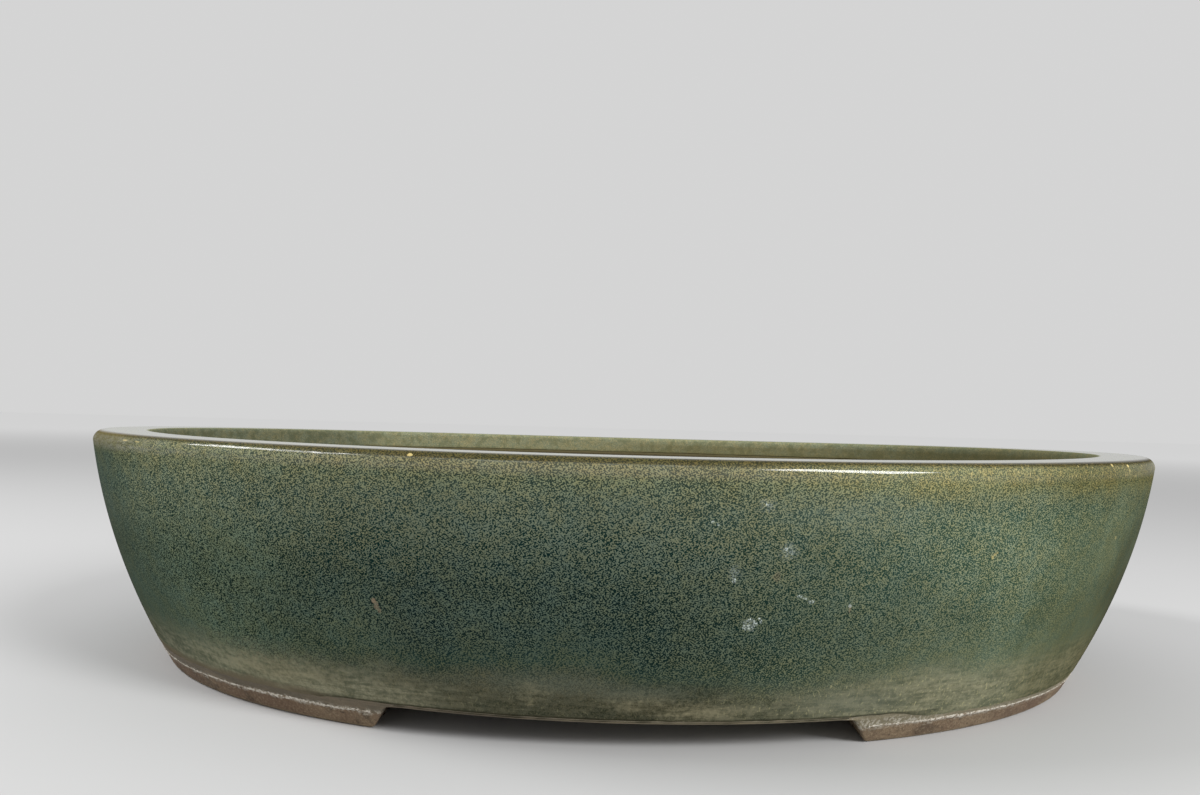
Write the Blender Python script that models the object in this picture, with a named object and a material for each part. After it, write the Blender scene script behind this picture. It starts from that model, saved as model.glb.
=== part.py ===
"""Oval bonsai pot: glazed stoneware on two C-shaped feet, empty, with its drain holes open.

The pot stands on the XY plane, its long axis along X and its middle over the origin.
Its clay members are apart, as they are before the maker joins them: the wall, the rim
with its inward lip, the floor slab and the two feet. The wall, the rim and the feet are
sections swept round one oval, so all of them follow the same flared and bowed outside.
"""

import math

import bpy
import bmesh

# Driving dimensions, in metres
RIM_LENGTH = 0.450
RIM_WIDTH = 0.350
POT_HEIGHT = 0.092

# The outside leans in from the rim to the table, and is bowed out by WALL_BOW half way
BASE_INSET = 0.0312
WALL_BOW = 0.0046
WALL_THICKNESS = 0.010

# The rim's flat top, its lip's depth and its roundings
RIM_BREADTH = 0.021
RIM_DEPTH = 0.009
RIM_OUTER_RADIUS = 0.004
RIM_INNER_RADIUS = 0.002

# The floor, and the cove of clay where the wall is joined to it
FLOOR_THICKNESS = 0.010
COVE_RADIUS = 0.009

# The feet, and the cut-out between them at the front and the back
FOOT_HEIGHT = 0.0092
FOOT_BREADTH = 0.020
FOOT_EDGE_RADIUS = 0.0012
CUTOUT_LENGTH = 0.158
CUTOUT_END_SLOPE = 0.0050
CUTOUT_CORNER_RADIUS = 0.0030
CUTOUT_CORNER_LIFT = 0.0007

# Holes in the floor
DRAIN_DIAMETER = 0.030
DRAIN_SPACING = 0.180
WIRE_HOLE_DIAMETER = 0.007
WIRE_HOLE_SPACING_X = 0.250
WIRE_HOLE_SPACING_Y = 0.090

# Gap kept between members that are joined by the firing
JOIN_GAP = 0.0003

# How finely the round shapes are divided
OVAL_POINTS = 96
WALL_STEPS = 8
RIM_STEPS = 2
FOOT_STEPS = 3
ARC_STEPS = 4
DRAIN_POINTS = 32
WIRE_HOLE_POINTS = 16
CUTTER_MARGIN = 0.02

GLAZE_COLOUR = (0.115, 0.160, 0.105, 1.0)
CLAY_COLOUR = (0.165, 0.110, 0.085, 1.0)


def clear_scene():
    """Remove whatever objects the scene holds."""
    for thing in list(bpy.data.objects):
        bpy.data.objects.remove(thing, do_unlink=True)


def new_collection(name):
    """Add a collection to the scene and return it."""
    collection = bpy.data.collections.new(name)
    bpy.context.scene.collection.children.link(collection)
    return collection


def ceramic(name, colour, roughness):
    """A plain fired-clay material."""
    material = bpy.data.materials.new(name)
    material.use_nodes = True
    shader = material.node_tree.nodes["Principled BSDF"]
    shader.inputs["Base Color"].default_value = colour
    shader.inputs["Roughness"].default_value = roughness
    shader.inputs["Metallic"].default_value = 0.0
    material.diffuse_color = colour
    return material


def oval(inset):
    """Points of the rim's oval, moved in by an inset that is the same all the way round."""
    half_length = RIM_LENGTH / 2
    half_width = RIM_WIDTH / 2
    points = []
    for step in range(OVAL_POINTS):
        angle = 2 * math.pi * step / OVAL_POINTS
        cosine = math.cos(angle)
        sine = math.sin(angle)
        reach = math.hypot(half_width * cosine, half_length * sine)
        x = half_length * cosine - inset * half_width * cosine / reach
        y = half_width * sine - inset * half_length * sine / reach
        points.append((x, y))
    return points


def shoulder_height():
    """Height of the pot's widest oval, where the rim's rounding starts."""
    return POT_HEIGHT - RIM_OUTER_RADIUS


def outside(height):
    """How far in from the rim's oval the outside lies at a height: a straight lean plus a bow."""
    drop = 1 - height / shoulder_height()
    return BASE_INSET * drop - 4 * WALL_BOW * drop * (1 - drop)


def outside_points(low, high, steps):
    """Section points up the outside, from one height to another."""
    heights = [low + (high - low) * step / steps for step in range(steps + 1)]
    return [(outside(height), height) for height in heights]


def arc(centre, radius, start, end):
    """Section points along an arc, with its angles in degrees from the inward direction."""
    points = []
    for step in range(ARC_STEPS + 1):
        angle = math.radians(start + (end - start) * step / ARC_STEPS)
        points.append((centre[0] + radius * math.cos(angle), centre[1] + radius * math.sin(angle)))
    return points


def poly_curve(name, outlines):
    """A closed 2D curve with one spline for each outline."""
    curve = bpy.data.curves.new(name, "CURVE")
    curve.dimensions = "2D"
    for outline in outlines:
        spline = curve.splines.new("POLY")
        spline.points.add(len(outline) - 1)
        for point, (x, y) in zip(spline.points, outline):
            point.co = (x, y, 0.0, 1.0)
        spline.use_cyclic_u = True
    return curve


def curve_to_mesh_object(curve_object, collection, material):
    """Replace a curve object by a closed mesh object of the same shape, name and place."""
    name = curve_object.name
    evaluated = curve_object.evaluated_get(bpy.context.evaluated_depsgraph_get())
    mesh = bpy.data.meshes.new_from_object(evaluated)
    work = bmesh.new()
    work.from_mesh(mesh)
    bmesh.ops.remove_doubles(work, verts=work.verts, dist=0.000001)
    bmesh.ops.recalc_face_normals(work, faces=work.faces)
    work.to_mesh(mesh)
    work.free()
    matrix = curve_object.matrix_world.copy()
    bpy.data.objects.remove(curve_object, do_unlink=True)
    piece = bpy.data.objects.new(name, mesh)
    piece.matrix_world = matrix
    mesh.materials.clear()
    if material is not None:
        mesh.materials.append(material)
    collection.objects.link(piece)
    return piece


def shade_round(piece):
    """Smooth the curved stretches and keep the corners sharp."""
    piece.data.shade_smooth()
    piece.data.set_sharp_from_angle(angle=math.radians(40))


def swept_ring(name, section, collection, material):
    """Sweep a closed section, given as insets and heights, round the rim's oval."""
    profile = bpy.data.objects.new(name + "_section", poly_curve(name + "_section", [section]))
    collection.objects.link(profile)
    path = poly_curve(name, [oval(0.0)])
    path.bevel_mode = "OBJECT"
    path.bevel_object = profile
    ring = bpy.data.objects.new(name, path)
    collection.objects.link(ring)
    bpy.context.view_layer.update()
    piece = curve_to_mesh_object(ring, collection, material)
    bpy.data.objects.remove(profile, do_unlink=True)
    shade_round(piece)
    return piece


def make_wall(collection, material):
    """The bowed wall, with a rebate at its foot for the floor and a cove above it."""
    low = FOOT_HEIGHT
    high = POT_HEIGHT - RIM_DEPTH - JOIN_GAP
    floor_top = FOOT_HEIGHT + FLOOR_THICKNESS
    rebate = outside(low) + WALL_THICKNESS
    cove_top = floor_top + COVE_RADIUS
    outer = outside_points(low, high, WALL_STEPS)
    faired = outside_points(cove_top, high, WALL_STEPS)
    inner = [(inset + WALL_THICKNESS, height) for inset, height in faired]
    cove_inset = inner[0][0]
    cove = []
    for step in range(1, ARC_STEPS + 1):
        angle = math.radians(90 * step / ARC_STEPS)
        inset = cove_inset + (rebate - cove_inset) * (1 - math.cos(angle))
        cove.append((inset, cove_top - COVE_RADIUS * math.sin(angle)))
    section = outer + inner[::-1] + cove + [(rebate, low)]
    return swept_ring("wall", section, collection, material)


def make_rim_lip(collection, material):
    """The thick rim: a flat top rounded at both edges, and a lip that reaches inwards."""
    low = POT_HEIGHT - RIM_DEPTH
    shoulder = shoulder_height()
    outer = outside_points(low, shoulder, RIM_STEPS)
    centre = (outer[-1][0] + RIM_OUTER_RADIUS, shoulder)
    rounding = arc(centre, RIM_OUTER_RADIUS, 180, 90)[1:]
    top_inner = (RIM_BREADTH - RIM_INNER_RADIUS, POT_HEIGHT - RIM_INNER_RADIUS)
    low_inner = (RIM_BREADTH - RIM_INNER_RADIUS, low + RIM_INNER_RADIUS)
    lip = arc(top_inner, RIM_INNER_RADIUS, 90, 0) + arc(low_inner, RIM_INNER_RADIUS, 0, -90)
    return swept_ring("rim_lip", outer + rounding + lip, collection, material)


def circle(centre_x, centre_y, diameter, count):
    """Points of a circle."""
    points = []
    for step in range(count):
        angle = 2 * math.pi * step / count
        points.append((centre_x + diameter / 2 * math.cos(angle), centre_y + diameter / 2 * math.sin(angle)))
    return points


def make_floor_slab(collection, material):
    """The floor, in the wall's rebate, with two drain holes and four wire holes."""
    inset = outside(FOOT_HEIGHT) + WALL_THICKNESS + JOIN_GAP
    outlines = [oval(inset)]
    for side in (-1, 1):
        outlines.append(circle(side * DRAIN_SPACING / 2, 0.0, DRAIN_DIAMETER, DRAIN_POINTS))
        for row in (-1, 1):
            x = side * WIRE_HOLE_SPACING_X / 2
            y = row * WIRE_HOLE_SPACING_Y / 2
            outlines.append(circle(x, y, WIRE_HOLE_DIAMETER, WIRE_HOLE_POINTS))
    curve = poly_curve("floor_slab", outlines)
    curve.fill_mode = "BOTH"
    curve.extrude = FLOOR_THICKNESS / 2
    slab = bpy.data.objects.new("floor_slab", curve)
    slab.location.z = FOOT_HEIGHT + FLOOR_THICKNESS / 2
    collection.objects.link(slab)
    bpy.context.view_layer.update()
    piece = curve_to_mesh_object(slab, collection, material)
    shade_round(piece)
    return piece


def make_cutter(side, collection):
    """What is cut away beside one foot: all from its sloped end to past the pot's other end."""
    half_gap = CUTOUT_LENGTH / 2
    far = RIM_LENGTH / 2 + CUTTER_MARGIN
    top = FOOT_HEIGHT + CUTOUT_CORNER_LIFT
    lean = math.degrees(math.atan2(CUTOUT_END_SLOPE, FOOT_HEIGHT))
    radius = CUTOUT_CORNER_RADIUS
    centre_height = top - radius
    slope_reach = radius / math.cos(math.radians(lean))
    centre_x = half_gap - CUTOUT_END_SLOPE * centre_height / FOOT_HEIGHT - slope_reach
    corner = arc((centre_x, centre_height), radius, lean, 90)
    above = top + CUTTER_MARGIN
    below = (half_gap + CUTOUT_END_SLOPE * CUTTER_MARGIN / FOOT_HEIGHT, -CUTTER_MARGIN)
    outline = [below] + corner + [(centre_x, above), (-far, above), (-far, -CUTTER_MARGIN)]
    curve = poly_curve("cutter", [outline])
    curve.fill_mode = "BOTH"
    curve.extrude = RIM_WIDTH / 2 + CUTTER_MARGIN
    cutter = bpy.data.objects.new("foot_cutter", curve)
    cutter.rotation_euler = (math.radians(90), 0.0, 0.0 if side > 0 else math.pi)
    collection.objects.link(cutter)
    bpy.context.view_layer.update()
    cutter = curve_to_mesh_object(cutter, collection, None)
    cutter.hide_render = True
    cutter.display_type = "WIRE"
    return cutter


def make_foot(name, side, collection, cutters, material):
    """One C-shaped foot, flush with the wall outside, cut to its sloped ends."""
    top = FOOT_HEIGHT - JOIN_GAP
    outer = outside_points(0.0, top, FOOT_STEPS)
    toe = BASE_INSET + FOOT_EDGE_RADIUS
    heel = BASE_INSET + FOOT_BREADTH
    section = [(toe, 0.0), (outside(FOOT_EDGE_RADIUS), FOOT_EDGE_RADIUS)] + outer[1:]
    section += [(heel, top), (heel, FOOT_EDGE_RADIUS), (heel - FOOT_EDGE_RADIUS, 0.0)]
    foot = swept_ring(name, section, collection, material)
    cut = foot.modifiers.new("cutout", "BOOLEAN")
    cut.operation = "DIFFERENCE"
    cut.solver = "EXACT"
    cut.object = make_cutter(side, cutters)
    return foot


def build():
    """Build the whole pot."""
    clear_scene()
    pot = new_collection("oval_bonsai_pot")
    cutters = new_collection("cutters")
    glaze = ceramic("glaze", GLAZE_COLOUR, 0.22)
    clay = ceramic("bare_clay", CLAY_COLOUR, 0.85)
    make_wall(pot, glaze)
    make_rim_lip(pot, glaze)
    make_floor_slab(pot, clay)
    make_foot("foot_left", -1, pot, cutters, clay)
    make_foot("foot_right", 1, pot, cutters, clay)


build()
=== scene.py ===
"""Looks of the oval bonsai pot: a speckled green glaze over brown stoneware, on two C-shaped feet.

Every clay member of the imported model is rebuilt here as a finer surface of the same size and
place, and the glaze and the lime scale are thin skins of their own over them. All shapes are
sections carried round one oval, in metres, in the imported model's frame.
"""

import logging
import math
from dataclasses import dataclass, field
from enum import Enum
from typing import Any, Optional, Sequence, Union

import bmesh
import bpy
import numpy as np
from mathutils import Matrix
from mathutils.geometry import delaunay_2d_cdt


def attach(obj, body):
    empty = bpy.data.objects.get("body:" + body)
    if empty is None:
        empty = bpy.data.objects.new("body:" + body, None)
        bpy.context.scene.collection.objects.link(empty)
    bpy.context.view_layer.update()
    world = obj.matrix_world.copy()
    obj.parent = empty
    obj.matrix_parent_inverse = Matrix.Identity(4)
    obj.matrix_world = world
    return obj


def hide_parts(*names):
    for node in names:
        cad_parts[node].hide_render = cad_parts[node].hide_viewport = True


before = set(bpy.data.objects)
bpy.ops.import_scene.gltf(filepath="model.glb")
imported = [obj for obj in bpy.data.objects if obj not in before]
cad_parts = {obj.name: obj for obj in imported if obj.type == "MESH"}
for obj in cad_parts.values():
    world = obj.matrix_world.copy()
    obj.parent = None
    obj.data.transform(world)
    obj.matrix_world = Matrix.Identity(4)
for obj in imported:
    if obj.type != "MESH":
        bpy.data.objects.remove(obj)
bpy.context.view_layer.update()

LOG = logging.getLogger("oval_bonsai_pot")
Array = np.ndarray
Colour = tuple[float, float, float]
Tone = tuple[Colour, Colour]
Triple = tuple[float, float, float]
Numeric = Union["Level", float, int]

MILLIMETRE = 0.001
FULL_TURN = 2.0 * np.pi
QUARTER = np.radians(np.linspace(0.0, 90.0, 6))
ARC_RISE = 1.0 - np.cos(QUARTER)  # a quarter circle's rise from 0 to 1, slow at first
ARC_FALL = 1.0 - np.sin(QUARTER)  # its fall from 1 to 0, slow at last


# ---------------------------------------------------------------- shape helpers


def smooth(low: float, high: float, value: Array) -> Array:
    """Return the smooth step of value from 0 at low to 1 at high: 3s^2 - 2s^3 of the clamped share."""
    share = np.clip((value - low) / (high - low), 0.0, 1.0)
    return share * share * (3.0 - 2.0 * share)


def ripple(turn: Array, seed: int, waves: Sequence[int]) -> Array:
    """Sum of sines round the pot, with phases drawn from a seed.

    Args:
        turn: Oval angles, in radians.
        seed: Seed of the phases and strengths.
        waves: Whole numbers of waves in one turn.

    Returns:
        Values of about -1 to 1, which close up after one turn.
    """
    draw = np.random.default_rng(seed)
    total = np.zeros_like(turn)
    for count in waves:
        total = total + draw.uniform(0.5, 1.0) * np.sin(count * turn + draw.uniform(0.0, FULL_TURN))
    return total / (0.75 * len(waves))


def bend(centre: tuple[float, float], radius: float, start: float, end: float, count: int) -> Array:
    """Section points on an arc: centre plus radius times cosine and sine of evenly spaced angles.

    Args:
        centre: Inset and height of the arc's centre.
        radius: The arc's radius.
        start: First angle in degrees from the inward direction.
        end: Last angle in degrees.
        count: How many points.

    Returns:
        Rows of inset and height.
    """
    angle = np.radians(np.linspace(start, end, count))
    return np.column_stack([centre[0] + radius * np.cos(angle), centre[1] + radius * np.sin(angle)])


def put(name: str, data: bpy.types.ID, axes: Optional[Sequence[Array]] = None) -> bpy.types.Object:
    """Add an object to the scene.

    Args:
        name: Name of the object.
        data: Its mesh, light or camera.
        axes: Directions of its own X, Y and Z, and its place. Without them it stays at the origin.

    Returns:
        The object.
    """
    thing = bpy.data.objects.new(name, data)
    if axes is not None:
        matrix = np.eye(4)
        matrix[:3] = np.column_stack(axes)
        thing.matrix_world = Matrix(matrix.tolist())
    bpy.context.scene.collection.objects.link(thing)
    return thing


# ---------------------------------------------------------------- the pot's form


@dataclass(frozen=True)
class PotForm:
    """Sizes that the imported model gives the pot, and the oval that every section is carried round."""

    half_length: float = 0.225
    half_width: float = 0.175
    height: float = 0.092
    base_inset: float = 0.0312
    wall_bow: float = 0.0046
    wall_thickness: float = 0.010
    rim_breadth: float = 0.021
    rim_depth: float = 0.009
    rim_outer_radius: float = 0.004
    rim_inner_radius: float = 0.002
    floor_thickness: float = 0.010
    cove_radius: float = 0.009
    foot_height: float = 0.0092
    foot_breadth: float = 0.020
    foot_edge_radius: float = 0.0012
    half_cutout: float = 0.079
    cutout_slope: float = 0.0050
    cutout_corner: float = 0.0030
    tip_lift: float = 0.00076
    middle_sag: float = 0.0019
    turns: int = 1080
    halvings: int = 44

    @property
    def shoulder(self) -> float:
        """Height of the widest oval, where the rim's rounding starts."""
        return self.height - self.rim_outer_radius

    @property
    def columns(self) -> Array:
        """Ellipse angle of each column of a section that is carried round."""
        return np.linspace(0.0, FULL_TURN, self.turns, endpoint=False)

    def outside(self, height: Array) -> Array:
        """Inset of the outside at a height: a straight lean, less a parabolic bow."""
        drop = 1.0 - np.asarray(height, float) / self.shoulder
        return self.base_inset * drop - 4.0 * self.wall_bow * drop * (1.0 - drop)

    def plan(self, turn: Array, inset: Array) -> tuple[Array, Array]:
        """Points of the rim's ellipse moved inwards along its normal by the inset.

        Args:
            turn: Ellipse angles, with zero at the right tip and a quarter turn at the back.
            inset: Distance in from the rim's ellipse.

        Returns:
            X and Y of each point.
        """
        cosine, sine = np.cos(turn), np.sin(turn)
        reach = np.hypot(self.half_width * cosine, self.half_length * sine)
        x = self.half_length * cosine - inset * self.half_width * cosine / reach
        y = self.half_width * sine - inset * self.half_length * sine / reach
        return x, y

    def turn_at(self, x: Array, inset: Array, back: bool) -> Array:
        """Ellipse angle at which the inset oval has a given X, found by halving the interval.

        Args:
            x: Wanted X of each point.
            inset: Inset of each point.
            back: True for the half of the oval with positive Y.

        Returns:
            Angles from 0 to pi at the back, or 0 to -pi at the front.
        """
        low = np.zeros(np.broadcast(x, inset).shape)
        high = np.full_like(low, np.pi)
        for _ in range(self.halvings):
            middle = 0.5 * (low + high)
            right = self.plan(middle, inset)[0] > x
            low, high = np.where(right, middle, low), np.where(right, high, middle)
        return 0.5 * (low + high) * (1.0 if back else -1.0)

    def settle(self, points: Array) -> Array:
        """Warp of the firing: heights grow towards both tips and sag at the middle of the long sides."""
        done = np.array(points, float)
        share = done[..., 2] / self.height
        along = (done[..., 0] / self.half_length) ** 2
        done[..., 2] += share * (self.tip_lift - self.middle_sag * (1.0 - along))
        return done

    def sweep(self, inset: Array, height: Array) -> Array:
        """Carry a section round the oval.

        Args:
            inset: Insets of the section, as (points,) or (turns, points).
            height: Heights of the section, of the same shape.

        Returns:
            Settled points as (turns, points, 3).
        """
        inset, height = np.broadcast_arrays(np.atleast_2d(inset), np.atleast_2d(height))
        x, y = self.plan(self.columns[:, None], inset)
        return self.settle(np.stack([x, y, np.broadcast_to(height, x.shape)], axis=-1))

    def cut_at(self, height: Array) -> Array:
        """Half length of the cut-out at a height: its sloped end, then its concave rounded corner."""
        height = np.asarray(height, float)
        lean = math.atan2(self.cutout_slope, self.foot_height)
        radius = self.cutout_corner
        middle = self.foot_height - radius
        centre = self.half_cutout - self.cutout_slope * middle / self.foot_height - radius / math.cos(lean)
        slope = self.half_cutout - self.cutout_slope * height / self.foot_height
        rise = np.clip(height - middle, 0.0, radius)
        curved = centre + np.sqrt(np.maximum(radius * radius - rise * rise, 0.0))
        return np.where(height > middle + radius * math.sin(lean), curved, slope)


# ---------------------------------------------------------------- meshes


@dataclass
class Mesh:
    """Vertices and faces that grow patch by patch, and become one closed piece."""

    points: list[Array] = field(default_factory=list)
    faces: list[Sequence[int]] = field(default_factory=list)
    marks: list[Array] = field(default_factory=list)
    count: int = 0

    def add_points(self, points: Array, mark: Optional[Array] = None) -> Array:
        """Add points and return their numbers.

        Args:
            points: Coordinates, with X, Y and Z on the last axis.
            mark: A number kept with each point for the shader.

        Returns:
            Vertex numbers in the shape of the points.
        """
        shape = points.shape[:-1]
        numbers = np.arange(self.count, self.count + int(np.prod(shape))).reshape(shape)
        self.points.append(points.reshape(-1, 3))
        self.marks.append(np.zeros(numbers.size) if mark is None else np.broadcast_to(mark, shape).ravel())
        self.count += numbers.size
        return numbers

    def add_quads(self, grid: Array, closed: tuple[bool, bool] = (False, False)) -> None:
        """Join neighbouring points of a grid of vertex numbers with quads.

        Args:
            grid: Vertex numbers as rows and columns.
            closed: Whether the last row joins the first, and the last column the first.
        """
        if closed[0]:
            grid = np.vstack([grid, grid[:1]])
        if closed[1]:
            grid = np.hstack([grid, grid[:, :1]])
        quads = np.stack([grid[:-1, :-1], grid[1:, :-1], grid[1:, 1:], grid[:-1, 1:]], axis=-1)
        self.faces.extend(quads.reshape(-1, 4).tolist())

    def build(self, name: str, weld: float = 1e-6, sharp: float = 50.0) -> bpy.types.Object:
        """Make the piece: doubles merged, faces outwards, smooth except at sharp corners.

        Args:
            name: Name of the piece.
            weld: Distance under which points are one.
            sharp: Angle in degrees above which an edge stays sharp.

        Returns:
            The new object, at the origin.
        """
        mesh = bpy.data.meshes.new(name)
        mesh.from_pydata(np.concatenate(self.points).tolist(), [], self.faces)
        along = mesh.attributes.new("along", "FLOAT", "POINT")
        along.data.foreach_set("value", np.concatenate(self.marks).astype(np.float32))
        work = bmesh.new()
        work.from_mesh(mesh)
        bmesh.ops.remove_doubles(work, verts=work.verts, dist=weld)
        bmesh.ops.dissolve_degenerate(work, edges=work.edges, dist=weld)
        bmesh.ops.recalc_face_normals(work, faces=work.faces)
        work.to_mesh(mesh)
        if work.calc_volume(signed=True) < 0:
            mesh.flip_normals()
        loose = sum(1 for edge in work.edges if len(edge.link_faces) != 2)
        work.free()
        mesh.shade_smooth()
        mesh.set_sharp_from_angle(angle=math.radians(sharp))
        sizes = (len(mesh.vertices), len(mesh.polygons), loose)
        LOG.info("%s: %d points, %d faces, %d open edges", name, *sizes)
        return put(name, mesh)


def ring(name: str, points: Array, mark: Optional[Array] = None) -> bpy.types.Object:
    """Make a piece from a closed section that was carried round the whole oval.

    Args:
        name: Name of the piece.
        points: The swept points.
        mark: A number kept with each point for the shader.

    Returns:
        The piece.
    """
    mesh = Mesh()
    mesh.add_quads(mesh.add_points(points, mark), (True, True))
    return mesh.build(name)


# ---------------------------------------------------------------- materials


def paint(red: int, green: int, blue: int) -> Colour:
    """Linear colour of 8-bit display values, by the display's own curve."""
    shares = [value / 255.0 for value in (red, green, blue)]
    return tuple(s / 12.92 if s <= 0.04045 else ((s + 0.055) / 1.055) ** 2.4 for s in shares)


class Level:
    """A number that varies over a surface, with Python's operators for its Math nodes."""

    def __init__(self, recipe: "Recipe", socket: bpy.types.NodeSocket) -> None:
        """Wrap an output socket of a recipe."""
        self.recipe = recipe
        self.socket = socket

    def _math(self, operation: str, *values: Numeric, clamp: bool = False) -> "Level":
        """Add one Math node.

        Args:
            operation: The node's operation.
            values: Its inputs.
            clamp: Whether the result is held from 0 to 1.

        Returns:
            The result.
        """
        settings = {"operation": operation, "use_clamp": clamp}
        node = self.recipe.node("ShaderNodeMath", settings, dict(enumerate(values)))
        return Level(self.recipe, node.outputs[0])

    def __add__(self, other: Numeric) -> "Level":
        """Sum."""
        return self._math("ADD", self, other)

    __radd__ = __add__

    def __sub__(self, other: Numeric) -> "Level":
        """Difference."""
        return self._math("SUBTRACT", self, other)

    def __rsub__(self, other: Numeric) -> "Level":
        """Reflected difference."""
        return self._math("SUBTRACT", other, self)

    def __mul__(self, other: Numeric) -> "Level":
        """Product."""
        return self._math("MULTIPLY", self, other)

    __rmul__ = __mul__

    def __truediv__(self, other: Numeric) -> "Level":
        """Quotient."""
        return self._math("DIVIDE", self, other)

    def __pow__(self, other: Numeric) -> "Level":
        """Power."""
        return self._math("POWER", self, other)

    def __abs__(self) -> "Level":
        """Size without sign."""
        return self._math("ABSOLUTE", self)

    def held(self) -> "Level":
        """The value held from 0 to 1."""
        return self._math("ADD", self, 0.0, clamp=True)

    def greater(self, other: Numeric) -> "Level":
        """The larger of two values."""
        return self._math("MAXIMUM", self, other)

    def sway(self, amount: float) -> "Level":
        """A noise as a swing round zero: its value less a half, times the amount."""
        return (self - 0.5) * amount

    def step(self, low: Numeric, high: Numeric, start: float = 0.0, end: float = 1.0) -> "Level":
        """Smooth step from start where the value is low to end where it is high."""
        inputs = {"Value": self, "From Min": low, "From Max": high, "To Min": start, "To Max": end}
        node = self.recipe.node("ShaderNodeMapRange", {"interpolation_type": "SMOOTHSTEP"}, inputs)
        return Level(self.recipe, node.outputs["Result"])

    def within(self, start: float, full: float, wane: float, end: float) -> "Level":
        """Band of the value: smoothly up from start to full, and down again from wane to end."""
        return self.step(start, full) * self.step(end, wane)


class Recipe:
    """A material under construction: its nodes come from one method, and its colours from mixes."""

    def __init__(self, name: str) -> None:
        """Start an empty material with one Principled surface."""
        self.material = bpy.data.materials.new(name)
        self.material.use_nodes = True
        self.tree = self.material.node_tree
        self.tree.nodes.clear()
        self.surface = self.node("ShaderNodeBsdfPrincipled")
        output = self.node("ShaderNodeOutputMaterial")
        self.feed(output.inputs["Surface"], self.surface.outputs["BSDF"])
        self.place = self.node("ShaderNodeTexCoord").outputs["Object"]
        self.body: Any = None

    def node(self, kind: str, settings: Optional[dict[str, Any]] = None,
             inputs: Optional[dict[Union[str, int], Any]] = None) -> bpy.types.Node:
        """Add a node.

        Args:
            kind: The node's type.
            settings: Its own settings, set first; "stops" gives a ramp's positions and colours.
            inputs: Values or links by socket name or number.

        Returns:
            The node.
        """
        node = self.tree.nodes.new(kind)
        for key, value in (settings or {}).items():
            if key == "stops":
                ramp = node.color_ramp.elements
                while len(ramp) < len(value):
                    ramp.new(0.5)
                for stop, (position, colour) in zip(ramp, value):
                    stop.position, stop.color = position, (*colour, 1.0)
            else:
                setattr(node, key, value)
        for key, value in (inputs or {}).items():
            self.feed(node.inputs[key], value)
        return node

    def feed(self, socket: bpy.types.NodeSocket, value: Any) -> None:
        """Link an input socket to a level or an output, or give it a plain value or colour."""
        if isinstance(value, Level):
            value = value.socket
        if isinstance(value, bpy.types.NodeSocket):
            self.tree.links.new(value, socket)
        else:
            socket.default_value = (*value, 1.0) if socket.type == "RGBA" else value

    def vector(self, operation: str, first: Any, second: Any = None) -> bpy.types.NodeSocket:
        """Result of one Vector Math node, which is a number where the operation is a length."""
        inputs = {0: first} if second is None else {0: first, 1: second}
        node = self.node("ShaderNodeVectorMath", {"operation": operation}, inputs)
        return node.outputs["Value" if operation == "LENGTH" else "Vector"]

    def axis(self, name: str) -> Level:
        """One Object coordinate, in metres."""
        return Level(self, self.node("ShaderNodeSeparateXYZ", None, {0: self.place}).outputs[name])

    def along(self) -> Level:
        """The distance kept with each point of the mesh."""
        node = self.node("ShaderNodeAttribute", {"attribute_name": "along"})
        return Level(self, node.outputs["Fac"])

    def turned(self, place: bpy.types.NodeSocket) -> bpy.types.NodeSocket:
        """Coordinates turned askew, so that a noise's own lattice does not show along the walls."""
        settings = {"rotation_type": "EULER_XYZ"}
        inputs = {"Vector": place, "Rotation": (0.61, 0.47, 0.83)}
        return self.node("ShaderNodeVectorRotate", settings, inputs).outputs[0]

    def noise(self, scale: float, detail: float = 2.0, rough: float = 0.5,
              place: Optional[bpy.types.NodeSocket] = None) -> Level:
        """Gradient noise from about 0.2 to 0.8.

        Args:
            scale: Waves to the metre, or to the unit of the place given.
            detail: Octaves.
            rough: Strength of each finer octave.
            place: Coordinates other than the object's own.

        Returns:
            The noise.
        """
        inputs = {"Vector": place or self.place, "Scale": scale, "Detail": detail, "Roughness": rough}
        return Level(self, self.node("ShaderNodeTexNoise", None, inputs).outputs[0])

    def streaks(self, level: float, upright: float, detail: float, rough: float) -> Level:
        """Gradient noise with different waves to the metre in the level directions and upwards."""
        return self.noise(1.0, detail, rough, self.vector("MULTIPLY", self.place, (level, level, upright)))

    def blend(self, share: Numeric, first: Any, second: Any) -> bpy.types.NodeSocket:
        """Colour that goes from the first to the second as the share goes from 0 to 1."""
        settings = {"data_type": "RGBA", "clamp_factor": True}
        node = self.node("ShaderNodeMix", settings, {0: share, 6: first, 7: second})
        return node.outputs[2]

    def coat(self, share: Numeric, colour: Any) -> None:
        """Lay a colour over the body, as densely as the share says."""
        self.body = self.blend(share, self.body, colour)

    def stain(self, share: Numeric, factors: Triple) -> None:
        """Multiply the body's channels by the factors, as fully as the share says."""
        self.coat(share, self.vector("MULTIPLY", self.body, factors))

    def warm(self, share: Level, amount: float) -> None:
        """Make the body cooler where the share is 0 and warmer where it is 1."""
        cool, hot = [self.vector("MULTIPLY", self.body, (1.0 + shift, 1.0, 1.0 - 1.2 * shift))
                     for shift in (-amount, amount)]
        self.body = self.blend(share, cool, hot)

    def finish(self, height: Level, depth: float, **inputs: Any) -> bpy.types.Material:
        """Give the surface its bump and its own sockets.

        Args:
            height: The bump's height.
            depth: The bump's depth in metres for a height of one.
            inputs: Values or links by socket name, with _ for a space.

        Returns:
            The material.
        """
        bump = self.node("ShaderNodeBump", None, {"Height": height, "Distance": depth, "Strength": 1.0})
        self.feed(self.surface.inputs["Normal"], bump.outputs[0])
        self.feed(self.surface.inputs["Base Color"], self.body)
        for key, value in inputs.items():
            self.feed(self.surface.inputs[key.replace("_", " ")], value)
        return self.material


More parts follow.
